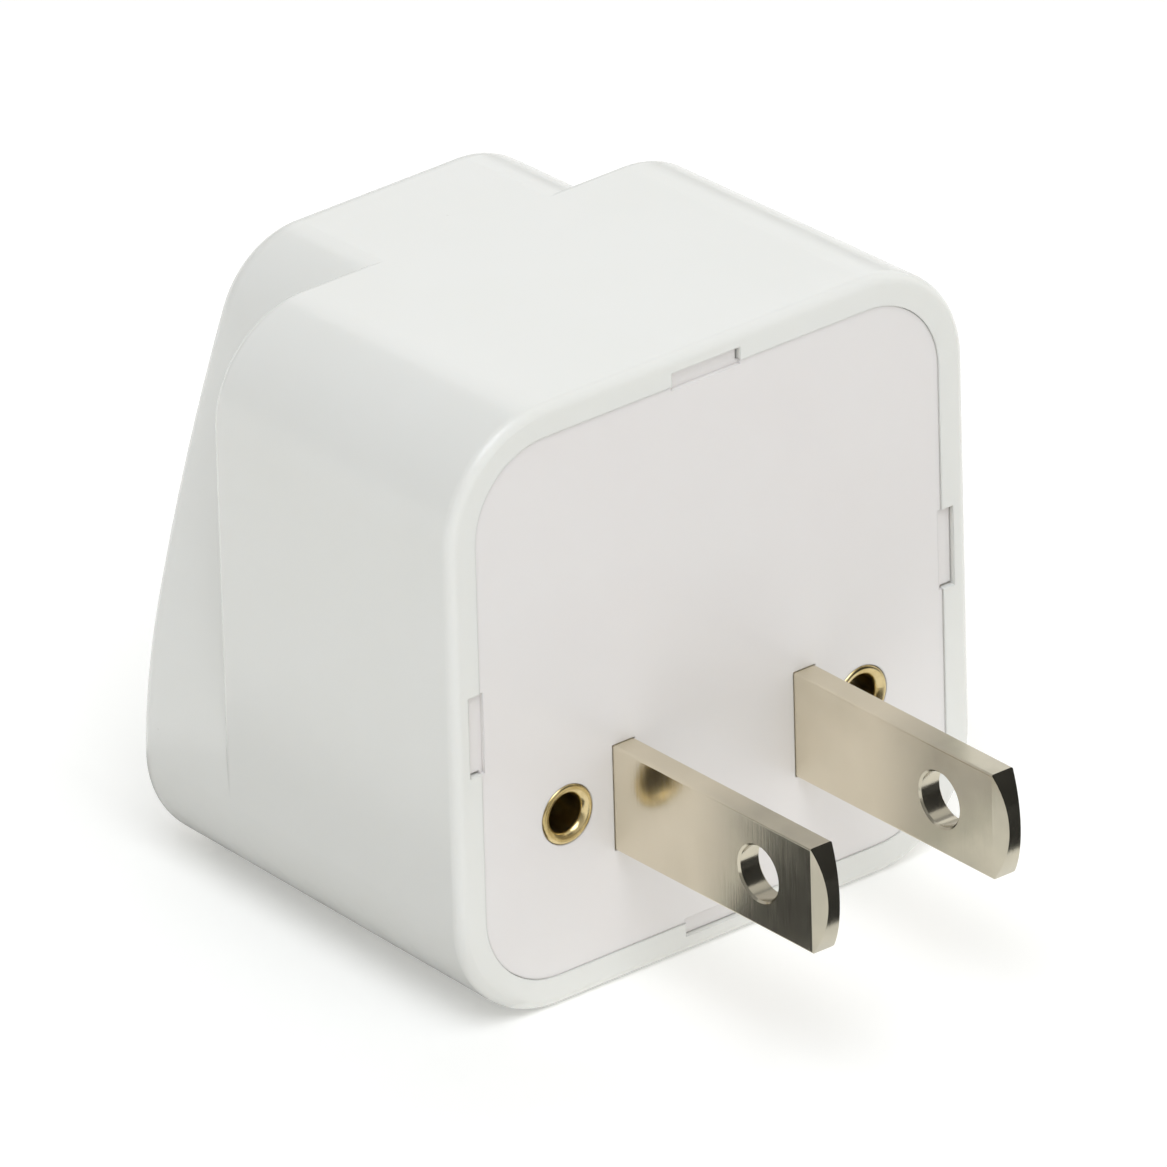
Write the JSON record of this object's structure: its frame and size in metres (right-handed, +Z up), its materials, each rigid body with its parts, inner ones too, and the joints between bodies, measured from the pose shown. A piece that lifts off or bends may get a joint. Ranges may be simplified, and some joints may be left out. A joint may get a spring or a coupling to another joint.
{
  "type": "universal travel adapter",
  "caption": "White plug-in travel adapter: a rounded block with two flat blades on the back and a bell-shaped socket face for foreign plugs, with sprung brass contacts inside.",
  "frame": {"origin": "on the rear rim plane, midway between the two blades", "axes": "+Y is the way the blades point, +Z is up with the earth opening above, +X is to the right when looking at the socket face"},
  "size_m": [0.036, 0.0457, 0.036],
  "materials": {
    "white_housing": "satin moulded ABS",
    "white_plate": "satin moulded ABS, slightly warmer",
    "nickel": "nickel plate over brass, lightly rolled",
    "rivet_brass": "drawn brass, bright lip",
    "contact_brass": "rolled brass sheet"
  },
  "bodies": {
    "root": {"socket_housing": "white_housing", "back_plate": "white_plate", "blade_left": "nickel", "blade_right": "nickel", "eyelet_left": "rivet_brass", "eyelet_right": "rivet_brass", "contact_strip_left": "contact_brass", "contact_strip_right": "contact_brass", "earth_yoke": "contact_brass"},
    "upper_leaf_left": {"upper_leaf_left": "contact_brass"},
    "upper_leaf_right": {"upper_leaf_right": "contact_brass"},
    "lower_leaf_left": {"lower_leaf_left": "contact_brass"},
    "lower_leaf_right": {"lower_leaf_right": "contact_brass"},
    "earth_jaw_left": {"earth_jaw_left": "contact_brass"},
    "earth_jaw_right": {"earth_jaw_right": "contact_brass"}
  },
  "joints": [
    {"name": "upper_leaf_left_flex", "type": "hinge", "parent": "root", "child": "upper_leaf_left", "pos_m": [-0.00855, -0.0108, -0.00011], "axis": [-1, 0, 0], "range_deg": [0, 9], "stiffness_Nm_per_rad": 0.01},
    {"name": "lower_leaf_left_flex", "type": "hinge", "parent": "root", "child": "lower_leaf_left", "pos_m": [-0.00855, -0.0108, -0.00701], "axis": [1, 0, 0], "range_deg": [0, 9], "stiffness_Nm_per_rad": 0.01},
    {"name": "upper_leaf_right_flex", "type": "hinge", "parent": "root", "child": "upper_leaf_right", "pos_m": [0.00855, -0.0108, -0.00011], "axis": [-1, 0, 0], "range_deg": [0, 9], "stiffness_Nm_per_rad": 0.01},
    {"name": "lower_leaf_right_flex", "type": "hinge", "parent": "root", "child": "lower_leaf_right", "pos_m": [0.00855, -0.0108, -0.00701], "axis": [1, 0, 0], "range_deg": [0, 9], "stiffness_Nm_per_rad": 0.01},
    {"name": "earth_jaw_left_flex", "type": "hinge", "parent": "root", "child": "earth_jaw_left", "pos_m": [-0.00255, -0.0111, 0.0105], "axis": [0, 0, -1], "range_deg": [0, 3], "stiffness_Nm_per_rad": 0.02},
    {"name": "earth_jaw_right_flex", "type": "hinge", "parent": "root", "child": "earth_jaw_right", "pos_m": [0.00255, -0.0111, 0.0105], "axis": [0, 0, 1], "range_deg": [0, 3], "stiffness_Nm_per_rad": 0.02}
  ],
  "couplings": [
    {"joint": "lower_leaf_left_flex", "follows": "upper_leaf_left_flex", "ratio": 1},
    {"joint": "lower_leaf_right_flex", "follows": "upper_leaf_right_flex", "ratio": 1},
    {"joint": "earth_jaw_right_flex", "follows": "earth_jaw_left_flex", "ratio": 1}
  ]
}
